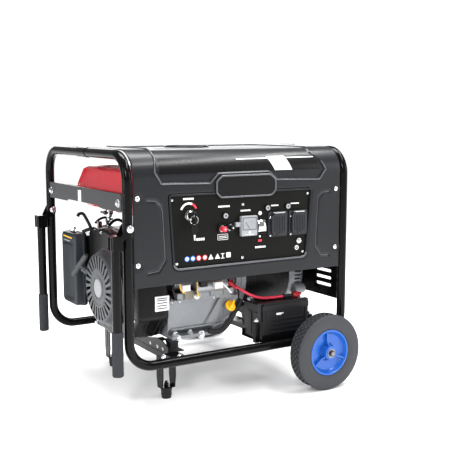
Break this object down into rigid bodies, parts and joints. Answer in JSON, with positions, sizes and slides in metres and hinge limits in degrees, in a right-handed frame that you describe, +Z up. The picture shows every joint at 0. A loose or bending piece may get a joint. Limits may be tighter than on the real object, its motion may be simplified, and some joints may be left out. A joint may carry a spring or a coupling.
{
  "type": "portable generator",
  "caption": "Open-frame portable petrol generator with wheels, fold-down handles, control panel, engine, alternator, red tank and battery.",
  "frame": {"origin": "on the floor under the middle of the whole object's box", "axes": "+Z up; the control panel faces -Y; the handles and recoil starter are at -X, the alternator at +X"},
  "size_m": [0.7218, 0.737, 0.664],
  "materials": {
    "frame_paint": "gloss",
    "cover_paint": "satin",
    "panel_black": "satin",
    "black_plastic": "satin",
    "foam_grip": "matte",
    "rubber": "matte",
    "tyre": "matte",
    "rim_blue": "gloss",
    "tank_red": "gloss",
    "cable_red": "gloss",
    "dipstick_yellow": "gloss",
    "zinc": "satin",
    "cast_aluminium": "satin",
    "starter_grey": "satin",
    "dark_steel": "satin",
    "grey_plastic": "satin",
    "terminal_red": "gloss"
  },
  "bodies": {
    "chassis": {"frame_tube_front": "frame_paint", "frame_tube_rear": "frame_paint", "cross_member_left": "frame_paint", "cross_member_right": "frame_paint", "rubber_foot_front": "rubber", "rubber_foot_rear": "rubber", "axle": "dark_steel", "top_cover": "cover_paint", "control_panel": "panel_black", "ignition_switch": "zinc", "dc_terminals": "terminal_red", "voltmeter": "grey_plastic", "socket_left": "black_plastic", "socket_right": "black_plastic", "fuel_tank": "tank_red", "tank_bracket_left": "cover_paint", "tank_bracket_right": "cover_paint", "end_guard": "frame_paint", "crankcase": "cast_aluminium", "cylinder_head": "cast_aluminium", "fan_shroud": "black_plastic", "recoil_cover": "starter_grey", "air_filter_cover": "black_plastic", "air_filter_base": "black_plastic", "carburettor": "cast_aluminium", "fuel_hose": "rubber", "muffler": "starter_grey", "starter_motor": "zinc", "bell_housing": "cast_aluminium", "alternator_stator": "dark_steel", "alternator_end_bracket": "cast_aluminium", "rubber_mount_front": "rubber", "rubber_mount_rear": "rubber", "rubber_mount_right": "rubber", "battery_tray": "frame_paint", "battery": "black_plastic", "battery_strap": "black_plastic", "starter_cable": "cable_red"},
    "handle_front": {"handle_front": "frame_paint", "grip_front": "foam_grip"},
    "handle_rear": {"handle_rear": "frame_paint", "grip_rear": "foam_grip"},
    "wheel_front": {"tyre_front": "tyre", "rim_front": "rim_blue"},
    "wheel_rear": {"tyre_rear": "tyre", "rim_rear": "rim_blue"},
    "ignition_key": {"ignition_key": "zinc"},
    "dc_breaker": {"dc_breaker_button": "grey_plastic"},
    "socket_breaker_left": {"socket_breaker_left": "grey_plastic"},
    "socket_breaker_right": {"socket_breaker_right": "grey_plastic"},
    "main_breaker": {"main_breaker_rocker": "zinc"},
    "socket_flap_left": {"socket_flap_left": "black_plastic"},
    "socket_flap_right": {"socket_flap_right": "black_plastic"},
    "fuel_cap": {"fuel_cap": "black_plastic"},
    "fuel_tap": {"fuel_tap_lever": "dark_steel"},
    "choke": {"choke_lever": "zinc"},
    "dipstick": {"dipstick": "dipstick_yellow"},
    "recoil_grip": {"recoil_grip": "black_plastic"},
    "recoil_pulley": {"recoil_pulley": "black_plastic"},
    "crankshaft": {"crankshaft": "dark_steel"}
  },
  "joints": [
    {"name": "handle_front_fold", "type": "hinge", "parent": "chassis", "child": "handle_front", "pos_m": [-0.31562, -0.2685, 0.476], "axis": [0, 1, 0], "range_deg": [0, 90]},
    {"name": "handle_rear_fold", "type": "hinge", "parent": "chassis", "child": "handle_rear", "pos_m": [-0.31562, 0.2685, 0.476], "axis": [0, 1, 0], "range_deg": [0, 90]},
    {"name": "wheel_front_roll", "type": "hinge", "parent": "chassis", "child": "wheel_front", "pos_m": [0.24438, -0.3305, 0.105], "axis": [0, 1, 0], "continuous": true},
    {"name": "wheel_rear_roll", "type": "hinge", "parent": "chassis", "child": "wheel_rear", "pos_m": [0.24438, 0.3305, 0.105], "axis": [0, 1, 0], "continuous": true},
    {"name": "ignition_key_turn", "type": "hinge", "parent": "chassis", "child": "ignition_key", "pos_m": [-0.14563, -0.2885, 0.498], "axis": [0, 1, 0], "range_deg": [0, 90]},
    {"name": "dc_breaker_trip", "type": "slide", "parent": "chassis", "child": "dc_breaker", "axis": [0, -1, 0], "range_m": [0, 0.003]},
    {"name": "socket_breaker_left_trip", "type": "slide", "parent": "chassis", "child": "socket_breaker_left", "axis": [0, -1, 0], "range_m": [0, 0.003]},
    {"name": "socket_breaker_right_trip", "type": "slide", "parent": "chassis", "child": "socket_breaker_right", "axis": [0, -1, 0], "range_m": [0, 0.003]},
    {"name": "main_breaker_rock", "type": "hinge", "parent": "chassis", "child": "main_breaker", "pos_m": [0.07337, -0.2685, 0.4575], "axis": [1, 0, 0], "range_deg": [0, 16]},
    {"name": "socket_flap_left_open", "type": "hinge", "parent": "chassis", "child": "socket_flap_left", "pos_m": [0.12337, -0.2778, 0.4905], "axis": [-1, 0, 0], "range_deg": [0, 100], "stiffness_Nm_per_rad": 0.02, "springref_deg": -28.65},
    {"name": "socket_flap_right_open", "type": "hinge", "parent": "chassis", "child": "socket_flap_right", "pos_m": [0.18987, -0.2778, 0.4905], "axis": [-1, 0, 0], "range_deg": [0, 100], "stiffness_Nm_per_rad": 0.02, "springref_deg": -28.65},
    {"name": "fuel_cap_turn", "type": "hinge", "parent": "chassis", "child": "fuel_cap", "pos_m": [-0.01562, -0.0185, 0.641], "axis": [0, 0, 1], "range_deg": [0, 90]},
    {"name": "fuel_tap_turn", "type": "hinge", "parent": "chassis", "child": "fuel_tap", "pos_m": [-0.22762, 0.0715, 0.478], "axis": [-1, 0, 0], "range_deg": [0, 90]},
    {"name": "choke_lever_turn", "type": "hinge", "parent": "chassis", "child": "choke", "pos_m": [-0.17663, 0.1465, 0.371], "axis": [0, 1, 0], "range_deg": [0, 55]},
    {"name": "dipstick_turn", "type": "hinge", "parent": "chassis", "child": "dipstick", "pos_m": [0.01638, -0.1995, 0.232], "axis": [0.1507, -0.7836, 0.6027], "range_deg": [0, 180]},
    {"name": "recoil_pull", "type": "slide", "parent": "chassis", "child": "recoil_grip", "axis": [-0.551, 0.4959, 0.6712], "range_m": [0, 0.45], "stiffness_N_per_m": 20, "springref_m": -0.3},
    {"name": "recoil_pulley_turn", "type": "hinge", "parent": "chassis", "child": "recoil_pulley", "pos_m": [-0.27163, -0.0285, 0.286], "axis": [-1, 0, 0], "range_deg": [0, 573]},
    {"name": "crankshaft_turn", "type": "hinge", "parent": "chassis", "child": "crankshaft", "pos_m": [-0.01562, -0.0285, 0.286], "axis": [1, 0, 0], "continuous": true}
  ],
  "couplings": [
    {"joint": "recoil_pulley_turn", "follows": "recoil_pull", "rad_per_m": 22.222}
  ]
}
